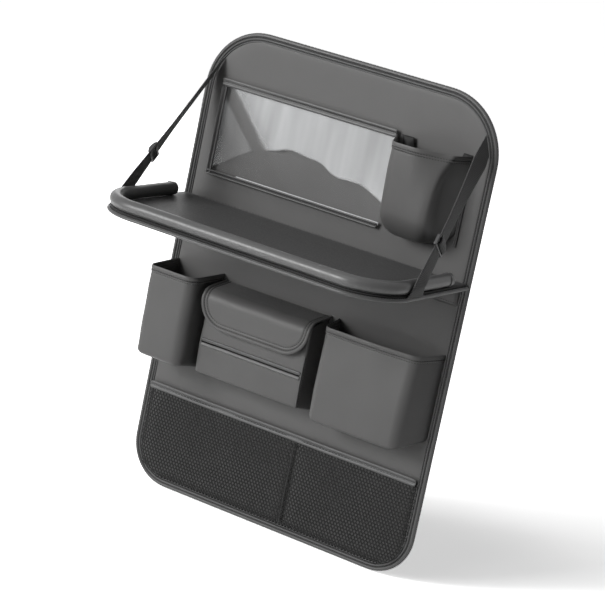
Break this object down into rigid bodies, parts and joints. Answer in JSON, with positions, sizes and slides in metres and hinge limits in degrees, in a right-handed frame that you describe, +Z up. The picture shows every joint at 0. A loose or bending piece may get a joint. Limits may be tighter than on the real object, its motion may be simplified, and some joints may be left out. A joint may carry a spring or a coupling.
{
  "type": "car seat back organizer",
  "caption": "Upright padded seat back organizer with a clear window pocket, a fold-down tray on webbing straps, open pockets, a tissue pouch and a net pocket.",
  "frame": {"origin": "centre of the back lining's rear face, which lies against the seat", "axes": "+X to the right as seen from the front, the front with its pockets and tray faces -Y, +Z up"},
  "size_m": [0.4526, 0.2172, 0.63],
  "materials": {
    "leather": "smooth charcoal synthetic leather, satin",
    "leather_edge": "folded charcoal synthetic leather strip, satin",
    "lining": "flat non-woven lining, matte",
    "webbing": "woven webbing, matte",
    "film": "clear soft film, glossy",
    "net": "open black net, matte",
    "plastic": "moulded black plastic, satin"
  },
  "bodies": {
    "panel": {"back_panel": "leather", "edge_binding": "leather_edge", "back_lining": "lining", "hanging_strap_upper": "webbing", "hanging_strap_lower": "webbing", "window_film": "film", "window_top_trim": "leather_edge", "window_left_trim": "leather_edge", "window_bottom_trim": "leather_edge", "upper_pocket": "leather", "bottle_pocket": "leather", "large_pocket": "leather", "tissue_pouch": "leather", "tissue_slot_upper_welt": "leather_edge", "tissue_slot_lower_welt": "leather_edge", "tissue_pouch_piping": "leather_edge", "tissue_flap": "leather", "net_pocket": "net", "net_binding": "leather_edge", "net_divider": "net", "tray_hinge_flap": "leather", "tray_strap_left": "webbing", "tray_strap_right": "webbing", "strap_slider_left": "plastic", "strap_slider_right": "plastic"},
    "tray": {"tray_board": "leather", "tray_roll": "leather", "tray_edge_piping": "leather_edge"}
  },
  "joints": [
    {"name": "tray_fold", "type": "hinge", "parent": "panel", "child": "tray", "pos_m": [0, -0.00884, 0.0836], "axis": [-1, 0, 0], "range_deg": [0, 66], "deforming": ["tray_strap_left", "tray_strap_right", "strap_slider_left", "strap_slider_right", "upper_pocket"]}
  ]
}
